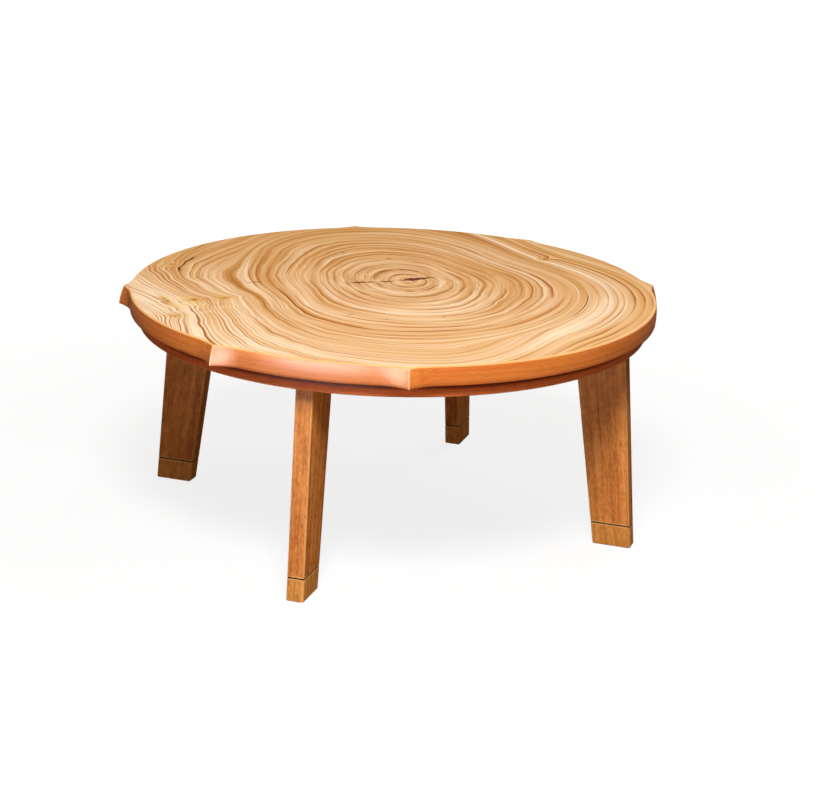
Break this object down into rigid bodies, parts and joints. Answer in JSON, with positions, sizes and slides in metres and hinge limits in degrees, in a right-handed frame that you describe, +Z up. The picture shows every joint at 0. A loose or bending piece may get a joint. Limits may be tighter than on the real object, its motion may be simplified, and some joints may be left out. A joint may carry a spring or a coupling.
{
  "type": "kotatsu table",
  "caption": "Low round kotatsu table: loose log-slice top with pointed lobed edge, frame with an electric foot heater, splayed fin legs on pull-off extension feet.",
  "frame": {"origin": "on the floor, under the middle of the table", "axes": "+Z up; the legs stand on the diagonals of X and Y, and the lattice bars lie along X and Y"},
  "size_m": [0.863, 0.863, 0.3889],
  "materials": {
    "log_veneer": "satin lacquer over end grain",
    "edge_wood": "satin lacquer",
    "particle_board": "raw board",
    "backing_sheet": "short brown felt",
    "apron_wood": "dark red-brown stain",
    "lattice_wood": "planed, unfinished",
    "leg_wood": "brown stain, satin",
    "foot_wood": "brown stain, satin",
    "peg_wood": "planed, unfinished",
    "rubber": "matte",
    "zinc_steel": "zinc plated",
    "housing_steel": "galvanised sheet",
    "bright_steel": "bright rolled sheet",
    "black_paint": "satin black",
    "quartz": "clear fused quartz with a heating coil inside",
    "ceramic": "unglazed",
    "motor_shell": "satin dark grey",
    "aluminium": "mill finish",
    "black_plastic": "fine grain"
  },
  "bodies": {
    "frame": {"apron_1": "apron_wood", "apron_2": "apron_wood", "apron_3": "apron_wood", "apron_4": "apron_wood", "lattice_front": "lattice_wood", "lattice_right": "lattice_wood", "lattice_back": "lattice_wood", "lattice_left": "lattice_wood", "gusset_front": "lattice_wood", "gusset_right": "lattice_wood", "gusset_back": "lattice_wood", "gusset_left": "lattice_wood", "leg_front": "leg_wood", "leg_right": "leg_wood", "leg_back": "leg_wood", "leg_left": "leg_wood", "rest_pad_front": "rubber", "rest_pad_right": "rubber", "rest_pad_back": "rubber", "rest_pad_left": "rubber", "leg_bolt_front": "zinc_steel", "leg_bolt_right": "zinc_steel", "leg_bolt_back": "zinc_steel", "leg_bolt_left": "zinc_steel", "heater_screw_1": "zinc_steel", "heater_screw_2": "zinc_steel", "heater_screw_3": "zinc_steel", "heater_screw_4": "zinc_steel", "heater_housing": "housing_steel", "heater_reflector": "bright_steel", "heater_guard": "black_paint", "guard_grille": "black_paint", "heating_tube": "quartz", "tube_holder_right": "ceramic", "tube_holder_left": "ceramic", "tube_clip": "ceramic", "thermal_cutout": "ceramic", "fan_motor": "motor_shell", "inlet_socket": "black_plastic"},
    "top": {"top_core": "particle_board", "top_veneer": "log_veneer", "top_backing": "backing_sheet", "edge_rail_1": "edge_wood", "edge_rail_2": "edge_wood", "edge_rail_3": "edge_wood", "edge_rail_4": "edge_wood", "edge_rail_5": "edge_wood", "edge_rail_6": "edge_wood"},
    "fan": {"fan_wheel": "aluminium"},
    "front_foot": {"foot_front": "foot_wood", "foot_peg_front": "peg_wood"},
    "right_foot": {"foot_right": "foot_wood", "foot_peg_right": "peg_wood"},
    "back_foot": {"foot_back": "foot_wood", "foot_peg_back": "peg_wood"},
    "left_foot": {"foot_left": "foot_wood", "foot_peg_left": "peg_wood"}
  },
  "joints": [
    {"name": "top_lift", "type": "slide", "parent": "frame", "child": "top", "axis": [0, 0, 1], "range_m": [0, 0.25]},
    {"name": "fan_spin", "type": "hinge", "parent": "frame", "child": "fan", "pos_m": [0, 0, 0.315], "axis": [0, 0, 1], "continuous": true},
    {"name": "front_foot_pull", "type": "slide", "parent": "frame", "child": "front_foot", "axis": [0, 0, -1], "range_m": [0, 0.03]},
    {"name": "right_foot_pull", "type": "slide", "parent": "frame", "child": "right_foot", "axis": [0, 0, -1], "range_m": [0, 0.03]},
    {"name": "back_foot_pull", "type": "slide", "parent": "frame", "child": "back_foot", "axis": [0, 0, -1], "range_m": [0, 0.03]},
    {"name": "left_foot_pull", "type": "slide", "parent": "frame", "child": "left_foot", "axis": [0, 0, -1], "range_m": [0, 0.03]}
  ]
}
